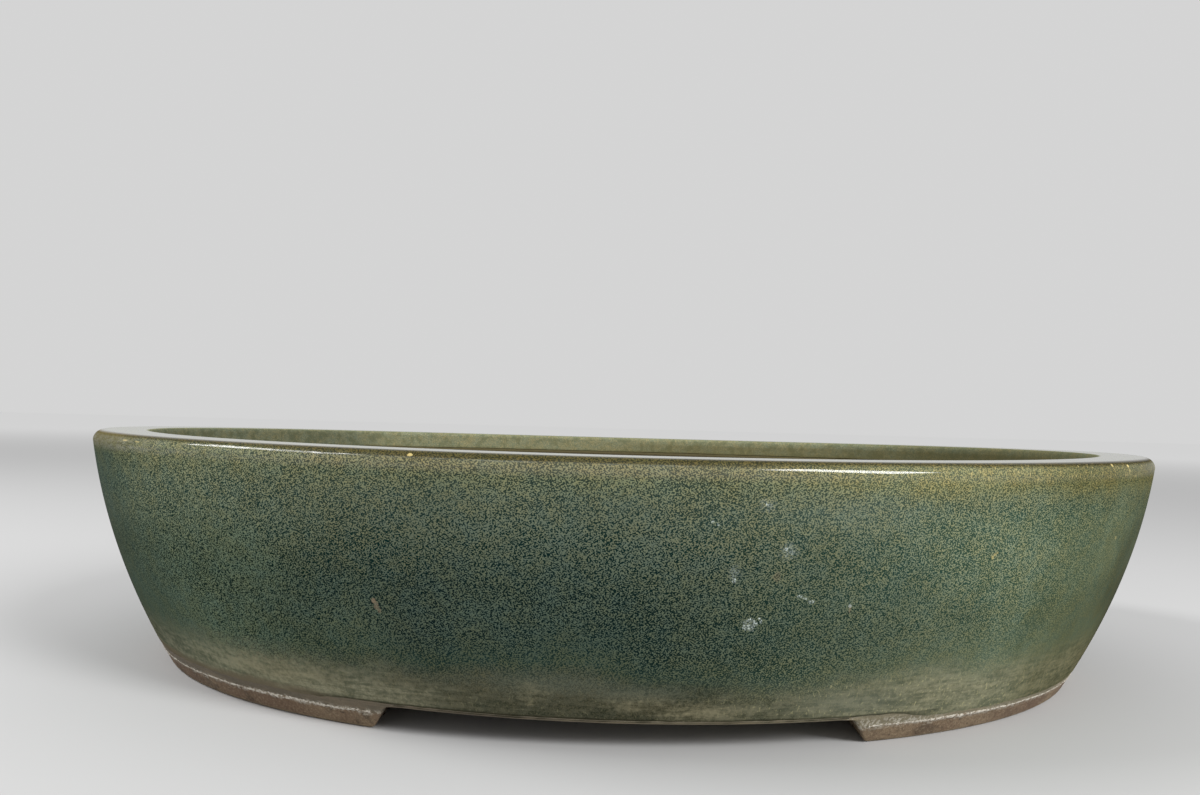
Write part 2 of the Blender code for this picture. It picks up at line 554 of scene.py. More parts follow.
GLAZE_GAIN, GLAZE_VEIL = 1.38, 0.003
LIGHT, DARK = 0, 1


def seen(red: int, green: int, blue: int) -> Colour:
    """The glaze's own colour where the eye sees this one under the studio's light and the gloss."""
    return tuple(max(GLAZE_VEIL, (part - GLAZE_VEIL) * GLAZE_GAIN) for part in paint(red, green, blue))


class MarkKind(Enum):
    """What a mark on the glaze is made of, or the painted sheen or glints it stands for, with its colour."""

    LIME = seen(196, 206, 202)
    HAZE = seen(86, 92, 82)
    DUST = seen(128, 122, 98)
    RUST = seen(138, 118, 98)
    # golden flecks on the wall, and painted glints on the rim
    GOLD = seen(186, 168, 112)
    CHIP = seen(48, 40, 34)
    POOL = seen(22, 42, 40)
    # painted sheen: a faint pale reflection on the upper wall
    MIST = seen(140, 152, 144)


@dataclass(frozen=True)
class Mark:
    """A small mark on the glaze, as an ellipsoid round a point on the surface, in millimetres."""

    centre: Triple
    reach: Triple
    strength: float
    soft: bool = False
    ring: float = 0.0


MARKS: dict[MarkKind, tuple[Mark, ...]] = {
    MarkKind.LIME: (
        Mark((36.5, -161.4, 43.0), (2.1, 4.0, 1.8), 1.0, ring=0.8),
        Mark((35.8, -161.4, 42.0), (1.4, 4.0, 0.9), 0.7),
        Mark((39.1, -161.0, 44.8), (0.4, 3.0, 0.5), 1.0),
        Mark((39.6, -160.7, 44.0), (0.4, 3.0, 0.7), 1.0),
        Mark((30.9, -166.5, 56.3), (0.7, 4.0, 0.9), 0.8),
        Mark((30.8, -167.0, 58.8), (2.0, 4.0, 2.4), 0.26, True),
        Mark((45.5, -166.8, 65.7), (0.6, 4.0, 0.5), 0.75),
        Mark((47.0, -166.7, 64.6), (0.6, 4.0, 0.6), 0.65),
        Mark((45.9, -166.6, 63.6), (0.7, 4.0, 0.4), 0.55),
        Mark((46.2, -166.8, 65.0), (2.9, 5.0, 2.6), 0.30, True),
        Mark((39.2, -170.9, 78.4), (0.7, 4.0, 0.7), 0.75),
        Mark((39.2, -170.9, 78.4), (2.4, 5.0, 2.0), 0.26, True),
        Mark((23.9, -171.5, 73.3), (0.5, 4.0, 0.5), 0.55),
        Mark((25.4, -171.3, 72.7), (0.5, 4.0, 0.5), 0.45),
        Mark((50.7, -162.1, 51.6), (0.8, 4.0, 0.5), 0.75),
        Mark((52.2, -161.6, 50.9), (0.9, 4.0, 0.5), 0.65),
        Mark((54.2, -160.9, 49.9), (0.9, 4.0, 0.7), 0.55),
        Mark((66.3, -157.7, 48.5), (0.5, 3.0, 0.6), 0.5)),
    MarkKind.HAZE: (
        Mark((-22.0, -150.0, 22.2), (26.0, 20.0, 4.6), 0.34, True),
        Mark((5.0, -150.0, 20.0), (20.0, 20.0, 3.6), 0.34, True),
        Mark((71.0, -142.5, 15.6), (20.0, 20.0, 5.0), 0.40, True)),
    MarkKind.DUST: (
        Mark((22.0, -145.0, 13.6), (15.0, 20.0, 3.0), 0.75, True),
        Mark((-116.0, -132.0, 17.0), (22.0, 30.0, 5.2), 0.70, True),
        Mark((-27.0, -147.0, 19.5), (6.2, 20.0, 4.0), 0.40, True),
        Mark((-27.5, -145.0, 15.0), (1.6, 20.0, 0.9), 0.55, True),
        Mark((7.0, -145.0, 16.5), (12.0, 20.0, 3.6), 0.60, True)),
    MarkKind.RUST: (
        Mark((-74.7, -154.1, 45.5), (0.7, 4.0, 0.9), 0.6),
        Mark((-73.9, -154.1, 43.9), (0.8, 4.0, 1.3), 0.38),
        Mark((-73.0, -154.1, 42.4), (0.6, 4.0, 0.9), 0.30),
        Mark((43.3, -165.2, 57.6), (1.2, 4.0, 1.8), 0.14),
        Mark((66.4, -157.3, 47.4), (0.4, 3.0, 1.2), 0.28)),
    # the first five, on the rim, are painted glints; the rest are golden flecks on the wall
    MarkKind.GOLD: (
        Mark((173.3, -110.7, 90.3), (0.7, 2.0, 0.5), 0.9),
        Mark((163.4, -118.9, 90.6), (0.6, 2.0, 0.5), 0.7),
        Mark((-62.6, -167.0, 89.7), (0.8, 2.0, 0.5), 0.8),
        Mark((-172.5, -111.7, 89.8), (1.8, 2.4, 0.3), 0.6),
        Mark((-165.0, -118.5, 89.6), (1.4, 2.0, 0.2), 0.5),
        Mark((112.9, -145.6, 62.2), (0.5, 3.0, 0.7), 0.42),
        Mark((113.7, -145.5, 63.0), (0.7, 3.0, 0.5), 0.34),
        Mark((114.5, -145.3, 63.6), (0.5, 3.0, 0.4), 0.26),
        Mark((171.0, -107.5, 65.1), (0.6, 3.0, 0.6), 0.22)),
    MarkKind.POOL: (
        Mark((83.4, -154.3, 53.5), (16.0, 20.0, 11.0), 0.22, True),
        Mark((66.0, -161.8, 63.0), (26.0, 20.0, 11.0), 0.15, True),
        Mark((104.4, -144.2, 45.0), (15.0, 20.0, 10.0), 0.17, True),
        Mark((56.0, -154.5, 38.0), (42.0, 20.0, 8.0), 0.15, True),
        Mark((-8.0, -162.2, 37.5), (28.0, 20.0, 7.0), 0.15, True),
        Mark((56.0, -158.5, 53.0), (20.0, 20.0, 22.0), 0.10, True),
        Mark((-4.0, -170.0, 78.0), (17.0, 20.0, 8.0), 0.10, True),
        Mark((-52.0, -166.0, 78.0), (14.0, 20.0, 8.0), 0.09, True)),
    # a painted sheen on the upper wall, standing for a reflection
    MarkKind.MIST: (Mark((68.0, -165.0, 76.5), (26.0, 20.0, 8.0), 0.05, True),),
    MarkKind.CHIP: (Mark((-178.9, -101.5, 92.0), (1.2, 1.4, 0.8), 1.0),),
}


@dataclass(frozen=True)
class GlazePalette:
    """Colours of the glaze. A tone holds the colour between the specks and that of the specks."""

    dust: Tone = (seen(76, 75, 61), seen(42, 44, 34))
    dust_right: Tone = (seen(129, 126, 104), seen(82, 84, 69))
    dust_left: Tone = (seen(132, 129, 108), seen(82, 84, 69))
    dusk: Tone = (seen(67, 75, 61), seen(28, 43, 38))
    deep: Tone = (seen(71, 81, 69), seen(8, 28, 27))
    leaf: Tone = (seen(85, 92, 77), seen(16, 34, 31))
    olive: Tone = (seen(94, 100, 82), seen(36, 48, 42))
    gold: Tone = (seen(103, 108, 84), seen(42, 51, 42))
    # lighter golden band where the rim's highlight runs: thin glaze with a painted sheen
    gilt_and_sheen: Tone = (seen(114, 112, 85), seen(62, 64, 50))
    brown: Tone = (seen(76, 71, 43), seen(42, 42, 28))
    flat: Tone = (seen(108, 112, 86), seen(66, 72, 52))
    inside: Tone = (seen(127, 127, 100), seen(104, 107, 84))
    right: Tone = (seen(111, 119, 96), seen(45, 64, 52))
    right_gold: Tone = (seen(123, 122, 87), seen(70, 75, 54))
    left: Tone = (seen(115, 124, 102), seen(31, 49, 43))
    left_deep: Tone = (seen(91, 104, 85), seen(5, 29, 25))
    tick: Colour = seen(152, 147, 112)
    blotch: Colour = seen(88, 92, 68)
    amber: Colour = seen(118, 102, 56)
    bank: Colour = seen(96, 88, 73)
    # dark line under the glaze's rolled lower edge: painted shade, partly dirt
    edge: Colour = seen(40, 38, 30)

    def stops(self, part: int, thick: float) -> list[tuple[float, Colour]]:
        """Colours up the skin by the distance from its lower edge.

        Args:
            part: LIGHT or DARK, the colour between the specks or in them.
            thick: Distance at which the thick blue-green glaze starts.

        Returns:
            Distances in metres with their colours.
        """
        tones = (
            (0.0, self.dust), (0.009, self.dust), (0.018, self.dusk), (thick, self.deep),
            (0.044, self.deep), (0.060, self.leaf), (0.073, self.olive), (0.080, self.gold),
            (0.0828, self.gilt_and_sheen), (0.0842, self.gilt_and_sheen), (0.0853, self.brown), (0.0882, self.brown),
            (0.0900, self.flat), (0.1030, self.flat), (0.1055, self.inside), (0.1125, self.inside))
        return [(place, tone[part]) for place, tone in tones] + [(0.1165, self.brown[LIGHT])]


class GreenGlaze(Recipe):
    """Speckled green glaze: golden brown where it runs thin over the rim, blue-green in worm-like
    specks where it is thick, and dulled by lime and dust above its lower edge.

    Its methods lay the layers in order. They place them by run, the distance up the skin from its
    lower edge, and by side and drift, which are X and X made wavy. Run is about 0.0825 m where the
    rim's rounding starts, 0.089 to 0.104 on its flat top and 0.107 at the top of the lip's face.
    """

    def __init__(self, palette: GlazePalette) -> None:
        """Lay out the places and noises that several layers share."""
        super().__init__("green_glaze")
        self.palette = palette
        self.run, self.side = self.along(), self.axis("X")
        self.broad, self.cloud = self.noise(9.0), self.noise(38.0, 3.0)
        squeezed = self.vector("MULTIPLY", self.place, (1.0, 1.0, 1.22))
        self.worm = self.noise(2130.0, 1.0, 0.50, self.turned(squeezed))
        self.smear = self.streaks(55.0, 187.0, 5.0, 0.6)
        self.drift = self.side + self.cloud.sway(0.04) + self.broad.sway(0.05)

    def ramp(self, level: Level, part: int, thick: float, span: float = 0.12) -> bpy.types.NodeSocket:
        """Colour ramp up the skin, over a span in metres, with the palette's stops."""
        stops = [(place / span, colour) for place, colour in self.palette.stops(part, thick)]
        return self.node("ShaderNodeValToRGB", {"stops": stops}, {0: level * (1.0 / span)}).outputs[0]

    def specks(self) -> Level:
        """Lay the specked body: two colours shared out by a fine worm-like noise.

        Returns:
            The share of the lighter colour, which evens out where the glaze is worn.
        """
        run, side, drift, cloud, broad = self.run, self.side, self.drift, self.cloud, self.broad
        palette, full = self.palette, 0.85
        wavy = (broad.sway(0.030) + cloud.sway(0.014)) * run.step(0.078, 0.060) * run.step(0.004, 0.020)
        right = drift.step(0.000, 0.150) * run.step(0.086, 0.066)
        left = drift.step(-0.060, -0.150) * run.step(0.0875, 0.0840)
        sunny = drift.step(0.020, 0.100) + drift.step(-0.080, -0.140) * 0.5
        sunny = sunny * (run + cloud.sway(0.014)).step(0.072, 0.084) * run.step(0.0870, 0.0850)
        deep = (run + cloud.sway(0.020)).step(0.076, 0.044)
        layers = []
        for part, thick in ((LIGHT, 0.030), (DARK, 0.028)):
            colour = self.ramp(run + wavy, part, thick)
            beside = self.blend(deep, palette.left[part], palette.left_deep[part])
            colour = self.blend(left * full, colour, beside)
            colour = self.blend(right * full, colour, palette.right[part])
            layers.append(self.blend(sunny, colour, palette.right_gold[part]))
        self.body, dark = layers
        tint = self.noise(760.0, 1.0)
        self.stain(tint.step(0.42, 0.62) * 0.30, (1.28, 1.28, 1.28))
        shape = self.worm - (cloud.sway(0.10) + broad.sway(0.08) + 0.502)
        share = shape.step(-0.040, 0.040)
        faint = (abs(side + 0.012) + (0.045 - run).greater(0.0) * 1.5).step(0.135, 0.225)
        worn = drift.step(0.055, 0.105) * run.step(0.036, 0.020) * 0.42
        even = (faint * run.step(0.076, 0.050, 0.15, 1.0)).greater(worn)
        share = share + (0.62 - share) * even
        self.body = self.blend(share, dark, self.body)
        self.warm(shape.step(-0.14, 0.14), 0.035)
        self.warm(tint.step(0.32, 0.68), 0.035)
        self.warm(self.noise(150.0, 3.0).step(0.32, 0.68), 0.045)
        self.warm(broad.step(0.36, 0.64), 0.02)
        self.stain(drift.within(0.058, 0.082, 0.118, 0.142) * run.step(0.046, 0.036), (0.91, 0.90, 0.88))
        return share

    def dust(self, share: Level) -> tuple[Level, Level]:
        """Lay the dusty band above the lower edge, with its streaks and ticks.

        Args:
            share: The share of the lighter colour of the specks.

        Returns:
            The band's strength, and its streaky tone from dark to light.
        """
        run, side, smear, palette = self.run, self.side, self.smear, self.palette
        rise = side.step(0.050, 0.110) * 0.0045
        low = (run - rise + smear.sway(0.014) + self.cloud.sway(0.010)).step(0.021, 0.005)
        tone = smear * 0.30 + self.streaks(110.0, 760.0, 6.0, 0.66) * 0.36
        tone = (tone + self.noise(520.0, 4.0, 0.66) * 0.34).step(0.40, 0.60)
        shore = side + 0.010 + smear.sway(0.06)
        band, band_right, band_left = [self.blend(tone, dust[DARK], dust[LIGHT]) for dust in
                                       (palette.dust, palette.dust_right, palette.dust_left)]
        band = self.blend(shore.step(0.012, 0.108), band, band_right)
        band = self.blend(shore.step(-0.020, -0.080), band, band_left)
        self.coat(low * (share * -0.34 + 0.94), band)
        ticks = self.streaks(1300.0, 420.0, 2.0, 0.6).step(0.58, 0.70)
        near = (run - smear.sway(0.020)).step(0.022, 0.006)
        self.coat(near * ticks * (shore.step(0.02, 0.10) * 0.50 + 0.14), palette.tick)
        return low, tone

    def ends(self) -> None:
        """Paint shade on both ends, where the wall turns away: darker colour standing for shade and dark
        reflections.
        """
        run, drift = self.run, self.drift
        outer = run.step(0.0890, 0.0850)
        turned = run.step(0.079, 0.052, 0.36, 1.0) * run.step(0.010, 0.030, 0.75, 1.0)
        for share, factors in (
                (drift.step(0.125, 0.160), (0.79, 0.78, 0.72)),
                (drift.step(0.165, 0.212) * outer * turned, (0.44, 0.42, 0.38)),
                (drift.step(0.160, 0.196) * run.within(0.018, 0.034, 0.056, 0.068), (0.86, 0.86, 0.85)),
                (drift.step(-0.168, -0.202) * run.step(0.062, 0.046), (0.97, 0.93, 0.86)),
                (drift.step(0.110, 0.140) * run.within(0.0755, 0.0815, 0.0875, 0.0890), (0.80, 0.78, 0.70)),
                (drift.step(0.135, 0.180) * run.step(0.052, 0.022), (0.79, 0.76, 0.72)),
                (drift.step(-0.140, -0.208) * outer, (0.48, 0.51, 0.54)),
                (drift.step(-0.150, -0.180) * run.step(0.058, 0.070) * outer, (0.80, 0.87, 0.88))):
            self.stain(share, factors)

    def edges(self) -> None:
        """Mark the lower edge, with a dark line that is painted shade under the glaze's rolled edge and
        partly dirt, and blotch the lip's inner face and paint shade on it towards both ends.
        """
        run, side, drift, smear, palette = self.run, self.side, self.drift, self.smear, self.palette
        low = (run + smear.sway(0.008)).step(0.0040, 0.0004)
        self.coat(low * side.step(-0.088, -0.100) * 0.85, palette.bank)
        free = (abs(side) + smear.sway(0.03)).step(0.112, 0.085)
        # painted shade: a dark line under the glaze's rolled lower edge, partly dirt, left off over the feet
        self.coat(run.step(0.0019, 0.0009) * free * 0.75, palette.edge)
        inner = run.step(0.1045, 0.1060)
        self.coat(inner * self.noise(240.0, 3.0, 0.6).step(0.46, 0.62) * 0.55, palette.blotch)
        self.coat(inner * run.step(0.1078, 0.1098) * drift.step(-0.02, 0.06) * 0.45, palette.brown[LIGHT])
        # painted shade on the lip's inner face towards both ends
        self.stain(inner * drift.step(-0.125, -0.165), (0.60, 0.62, 0.64))
        self.stain(inner * drift.step(0.110, 0.165), (0.82, 0.83, 0.84))

    def cover(self, mark: Mark, ragged: Level) -> Level:
        """How strongly a mark covers each place: full inside its ellipsoid, with a ragged edge.

        Args:
            mark: The mark.
            ragged: Noise that frays the edge.

        Returns:
            Its cover, from 0 to 1.
        """
        centre, reach = [[MILLIMETRE * part for part in parts] for parts in (mark.centre, mark.reach)]
        away = self.vector("DIVIDE", self.vector("SUBTRACT", self.place, centre), reach)
        length = Level(self, self.vector("LENGTH", away))
        frayed = length + ragged.sway(1.6)
        cover = frayed.step(1.40, 0.0) if mark.soft else frayed.step(1.15, 0.70)
        if mark.ring:
            cover = cover * length.step(0.25, 0.95, 1.0 - mark.ring, 1.0)
        return cover * mark.strength

    def marks(self, tone: Level, crumbs: Level) -> dict[MarkKind, Level]:
        """Lay the hazes, pools, painted sheen, dust, lime and rust.

        Args:
            tone: The dusty band's streaky tone.
            crumbs: Grain of the lime.

        Returns:
            The cover of every kind of mark.
        """
        ragged = self.noise(900.0, 3.0, 0.65)
        covers: dict[MarkKind, Level] = {}
        for kind, marks in MARKS.items():
            for mark in marks:
                cover = self.cover(mark, ragged)
                covers[kind] = covers[kind].greater(cover) if kind in covers else cover
        for kind, grain in ((MarkKind.HAZE, 1.0), (MarkKind.POOL, 1.0), (MarkKind.MIST, 1.0),
                            (MarkKind.DUST, tone * 0.7 + 0.3), (MarkKind.LIME, crumbs * 0.66 + 0.08),
                            (MarkKind.RUST, 0.8)):
            self.coat(covers[kind] * grain, kind.value)
        return covers

    def rim(self, covers: dict[MarkKind, Level]) -> None:
        """Lay the amber of the rim's left end, a faint pale line of painted reflection, golden flecks and
        painted glints, and the chip.
        """
        run, side, drift, smear = self.run, self.side, self.drift, self.smear
        amber = drift.step(-0.145, -0.180) * run.within(0.0785, 0.0850, 0.0872, 0.0888)
        self.coat(amber * 0.35, self.palette.amber)
        # painted reflection: a faint pale line along the rim's rounding, in the lime's colour
        pale_reflection = abs(run - 0.0848 + smear.sway(0.0006)).step(0.0004, 0.0001)
        pale_reflection = pale_reflection * abs(side + 0.030).step(0.060, 0.035)
        self.coat(pale_reflection * (smear.step(0.40, 0.60) * 0.05 + 0.015), MarkKind.LIME.value)
        # painted glints: bright golden dashes on the rounding towards the right end
        glint_strokes = self.streaks(1100.0, 500.0, 2.0, 0.6).step(0.60, 0.68)
        glint_strokes = glint_strokes * run.within(0.0790, 0.0830, 0.0860, 0.0878) * drift.step(0.080, 0.120) * 0.45
        self.coat(covers[MarkKind.GOLD].greater(glint_strokes), MarkKind.GOLD.value)
        self.coat(covers[MarkKind.CHIP], MarkKind.CHIP.value)

    def gloss(self, satin: float = 0.04) -> Level:
        """Weight of the gloss: satin on the wall, shiny in worn streaks on the rim's rounding and
        full on its flat top."""
        run, side = self.run, self.side
        worn = self.streaks(170.0, 900.0, 3.0, 0.6).step(0.40, 0.56) + side.step(-0.04, 0.00) * 0.7
        gloss = run.within(0.0800, 0.0828, 0.0850, 0.0868) * (worn.held() * 0.5 + 0.28)
        gloss = gloss * side.step(-0.195, -0.165, 0.3, 1.0) * side.step(0.145, 0.118, 0.45, 1.0)
        return gloss + run.within(0.0864, 0.0886, 0.1036, 0.1052) * 0.95 + satin

    def make(self) -> bpy.types.Material:
        """Lay all layers and return the material."""
        share = self.specks()
        low, tone = self.dust(share)
        self.ends()
        self.edges()
        crumbs = self.noise(1900.0, 2.0, 0.6).step(0.48, 0.60)
        covers = self.marks(tone, crumbs)
        self.rim(covers)
        lime = covers[MarkKind.LIME]
        rough = self.run.within(0.076, 0.083, 0.0870, 0.0890) * 2.0 + 1.0
        height = (self.worm * 0.5 + share * 0.15) * rough + lime * crumbs * 1.2
        return self.finish(height, 0.00005, Roughness=0.6, IOR=1.5, Specular_IOR_Level=0.0, Coat_IOR=1.5,
                           Coat_Roughness=0.10, Coat_Weight=self.gloss() * (1.0 - low * 0.8) * (1.0 - lime))


@dataclass(frozen=True)
class BareClay:
    """Unglazed brown stoneware: matt and sandy, greyer with lime above the tide line on the feet.

    Its face is the half length and half width of the feet's outer oval.
    """

    clay: Colour = paint(126, 108, 86)
    red: Colour = paint(108, 87, 69)
    dark: Colour = paint(64, 54, 43)
    light: Colour = paint(154, 138, 112)
    haze: Colour = paint(136, 131, 108)
    haze_left: Colour = paint(108, 102, 87)
    lime: Colour = paint(178, 172, 158)
    shade: Colour = paint(66, 60, 44)
    thin: Colour = paint(112, 106, 72)
    tide: float = 0.0062
    scratched: float = 0.0074
    face: tuple[float, float] = (0.198, 0.148)

    def make(self, name: str) -> bpy.types.Material:
        """Mix the clay.

        Args:
            name: Name of the material.

        Returns:
            The material.
        """
        mix, tide = Recipe(name), self.tide
        height, side = mix.axis("Z"), mix.axis("X")
        cloud = mix.noise(30.0, 4.0, 0.6)
        patch = mix.noise(130.0, 4.0, 0.62)
        sand = mix.noise(1150.0, 3.0, 0.7)
        fleck = mix.noise(620.0)
        smear = mix.streaks(80.0, 700.0, 4.0, 0.62)
        foot = height.step(0.0130, 0.0115)
        mix.body = mix.blend(cloud.step(0.34, 0.66), self.red, self.clay)
        mix.coat(patch.step(0.47, 0.66) * (foot * 0.30 + 0.25), self.dark)
        mix.coat(sand.step(0.52, 0.66) * 0.55, self.light)
        mix.coat(sand.step(0.46, 0.34) * 0.45, self.dark)
        mix.coat(fleck.step(0.62, 0.70) * 0.60, self.dark)
        mix.coat((height + patch.sway(0.0012)).step(0.0013, 0.0005) * 0.55, self.light)
        grey = (height + patch.sway(0.0024) + smear.sway(0.0014)).step(tide - 0.0009, tide + 0.0005) * foot
        veil = mix.blend(side.step(-0.06, 0.06), self.haze_left, self.haze)
        veil = mix.blend((smear * 0.6 + sand * 0.4).step(0.42, 0.58) * 0.40, veil, self.dark)
        mix.coat(grey * (smear.step(0.36, 0.60) * 0.30 + 0.62), veil)
        crumbs = (sand * 0.5 + fleck * 0.5).step(0.46, 0.60)
        film = abs(height - tide + patch.sway(0.0030)).step(0.0016, 0.0002) * foot
        mix.coat(film * crumbs * 0.75, self.lime)
        hatch = mix.streaks(1000.0, 620.0, 3.0, 0.62).step(0.50, 0.60)
        hatch = hatch * abs(height - self.scratched + patch.sway(0.0040)).step(0.0030, 0.0008)
        oval = (side / self.face[0]) ** 2.0 + (mix.axis("Y") / self.face[1]) ** 2.0
        hatch = hatch * side.within(0.0500, 0.0700, 0.0950, 0.1150) * oval.step(0.955, 0.975)
        mix.coat(hatch * foot * 0.7, self.lime)
        ruddy = patch.step(0.46, 0.66) * side.step(0.105, 0.125) * height.step(tide, tide - 0.001)
        mix.coat(ruddy * 0.6, self.red)
        mix.coat(height.step(0.066, 0.078) * 0.92, self.shade)
        mix.coat((height + patch.sway(0.0010)).step(0.0790, 0.0826) * 0.9, self.thin)
        return mix.finish(sand + patch * 0.8, 0.00024, Roughness=0.86, IOR=1.4)


@dataclass(frozen=True)
class LimeScale:
    """Hard white scale that hard water leaves, chalky and slightly uneven."""

    body: Colour = paint(200, 194, 182)
    stain: Colour = paint(128, 115, 98)

    def make(self) -> bpy.types.Material:
        """Mix the scale and return its material."""
        mix = Recipe("lime_scale")
        mix.body = mix.blend(mix.noise(900.0, 4.0, 0.7).step(0.44, 0.60), self.body, self.stain)
        return mix.finish(mix.noise(900.0, 3.0, 0.65), 0.0002, Roughness=0.9, IOR=1.4)


# ---------------------------------------------------------------- pieces


@dataclass
class GlazeCoat:
    """The glaze: a thin closed skin up the wall, over the rim and down the lip's inner face."""

    form: PotForm
    thickness: float = 0.00040
    lower_edge: float = 0.0100
    lower_wave: float = 0.00050
    lower_waves: tuple[int, ...] = (5, 9, 14, 23, 37, 61, 97, 131, 167, 199)
    droop: tuple[float, float] = (0.0012, 0.0026)
    droop_place: tuple[float, float] = (0.084, 0.100)
    inner_edge: float = 0.0834
    inner_wave: float = 0.0003
    inner_waves: tuple[int, ...] = (4, 7, 13, 22, 41, 73)
    wall_rows: int = 56

    def build(self) -> bpy.types.Object:
        """Carry the skin's section round the oval, with both of its edges wavy and rolled over.

        The lower edge droops over the feet. The outer line goes up the bowed outside, round the
        rim, across the flat and down the lip, and the inner line is the same one thickness deeper.

        Returns:
            The piece.
        """
        form, skin, turn = self.form, self.thickness, self.form.columns[:, None]
        place = form.plan(turn, np.full_like(turn, form.base_inset))[0]
        start, full = self.droop_place
        droop = self.droop[0] * smooth(-start, -full, place) + self.droop[1] * smooth(start, full, place)
        low = self.lower_edge - droop + self.lower_wave * ripple(turn, 3, self.lower_waves)
        end = self.inner_edge + self.inner_wave * ripple(turn, 8, self.inner_waves)
        height = low + (form.shoulder - low) * np.linspace(0.0, 1.0, self.wall_rows)[None, :]
        short = 1.0 - np.clip((height - low) / (0.9 * skin), 0, 1)
        roll = skin * (1.0 - np.sqrt(np.clip(1.0 - short ** 2, 0, 1)))
        wall = np.stack([form.outside(height) + roll * 0.9, height], axis=-1)
        outer = bend((form.rim_outer_radius, form.shoulder), form.rim_outer_radius, 180, 90, 14)[1:]
        flat = np.linspace(form.rim_outer_radius, form.rim_breadth - form.rim_inner_radius, 12)[1:-1]
        top = np.column_stack([flat, np.full_like(flat, form.height)])
        centre = (form.rim_breadth - form.rim_inner_radius, form.height - form.rim_inner_radius)
        rim = np.vstack([outer, top, bend(centre, form.rim_inner_radius, 90, 0, 8)])
        rim = np.broadcast_to(rim[None], (form.turns, *rim.shape))
        lip_height = centre[1] + (end - centre[1]) * np.linspace(0.0, 1.0, 10)[None, 1:]
        lip = np.stack([np.full_like(lip_height, form.rim_breadth), lip_height], axis=-1)
        line = np.concatenate([wall, rim, lip], axis=1)
        ahead = np.gradient(line, axis=1)
        normal = np.stack([ahead[..., 1], -ahead[..., 0]], axis=-1)
        normal /= np.linalg.norm(normal, axis=-1, keepdims=True)
        section = np.concatenate([line, (line + normal * skin)[:, ::-1]], axis=1)
        length = np.cumsum(np.linalg.norm(np.diff(line, axis=1), axis=-1), axis=1)
        length = np.concatenate([np.zeros((form.turns, 1)), length], axis=1) + (low - self.lower_edge)
        mark = np.concatenate([length, length[:, ::-1]], axis=1)
        return ring("glaze_coat", form.sweep(section[..., 0], section[..., 1]), mark)

    def dress(self, piece: bpy.types.Object) -> None:
        """Glaze the piece and give it its place in the frame."""
        piece.data.materials.append(GreenGlaze(GlazePalette()).make())
        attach(piece, "root")
        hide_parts("rim_lip")


@dataclass
class ClayWall:
    """The clay of the wall, with its cove, its rebate for the floor and its rounded lower edge."""

    form: PotForm
    covered: float = 0.00045
    bare: float = 0.00020
    covered_from: float = 0.0105
    arris: float = 0.0009
    arris_fade: tuple[float, float] = (0.006, 0.012)
    face_from: float = 0.00105
    throat: float = 0.0130
    throat_end: float = 0.0006
    lip_gap: float = 0.0001
    clearance: float = 0.00002
    uneven: float = 0.00018
    uneven_above: float = 0.02
    uneven_behind: float = 0.005

    def build(self) -> bpy.types.Object:
        """Carry the wall's section round the oval.

        The lower outer edge is a quarter circle whose radius is full in the cut-outs and nothing over
        the feet.

        Returns:
            The piece.
        """
        form, turn = self.form, self.form.columns
        low, high = form.foot_height, form.height - form.rim_depth
        beside = np.abs(form.plan(turn, form.base_inset)[0])
        start, full = [form.half_cutout - back for back in self.arris_fade]
        radius = self.arris * smooth(start, full, beside)[:, None] + self.clearance
        edge_inset = form.outside(low) + self.bare + radius * ARC_RISE[::-1]
        edge_height = low + radius * ARC_FALL[::-1]
        rise = np.linspace(low + self.face_from, high - self.clearance, 40)
        face = form.outside(rise) + np.where(rise > self.covered_from, self.covered, self.bare)
        cove_top = low + form.floor_thickness + form.cove_radius
        inner_rise = np.linspace(high - self.clearance, cove_top, 44)
        plain = form.outside(inner_rise) + form.wall_thickness
        thicker = form.rim_breadth - self.lip_gap - plain
        inner = plain + thicker * smooth(high - self.throat, high - self.throat_end, inner_rise)
        rebate = float(form.outside(low)) + form.wall_thickness
        bow = np.radians(np.linspace(0.0, 90.0, 12))[1:]
        cove = inner[-1] + (rebate - inner[-1]) * (1.0 - np.cos(bow))
        cove_height = cove_top - form.cove_radius * np.sin(bow)
        inset, height = [
            np.hstack([edge, np.broadcast_to(fixed, (form.turns, fixed.size))])
            for edge, fixed in ((edge_inset, np.concatenate([face, inner, cove, [rebate]])),
                                (edge_height, np.concatenate([rise, inner_rise, cove_height, [low]])))]
        uneven = self.uneven * ripple(turn, 21, (3, 5, 8, 13))[:, None]
        inside = (height > self.uneven_above) & (inset > form.outside(height) + self.uneven_behind)
        inset = inset + np.where(inside, uneven, 0.0)
        return ring("clay_wall", form.sweep(inset, height))

    def dress(self, piece: bpy.types.Object, clay: bpy.types.Material) -> None:
        """Leave the clay bare and give it its place in the frame."""
        piece.data.materials.append(clay)
        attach(piece, "root")
        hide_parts("wall")


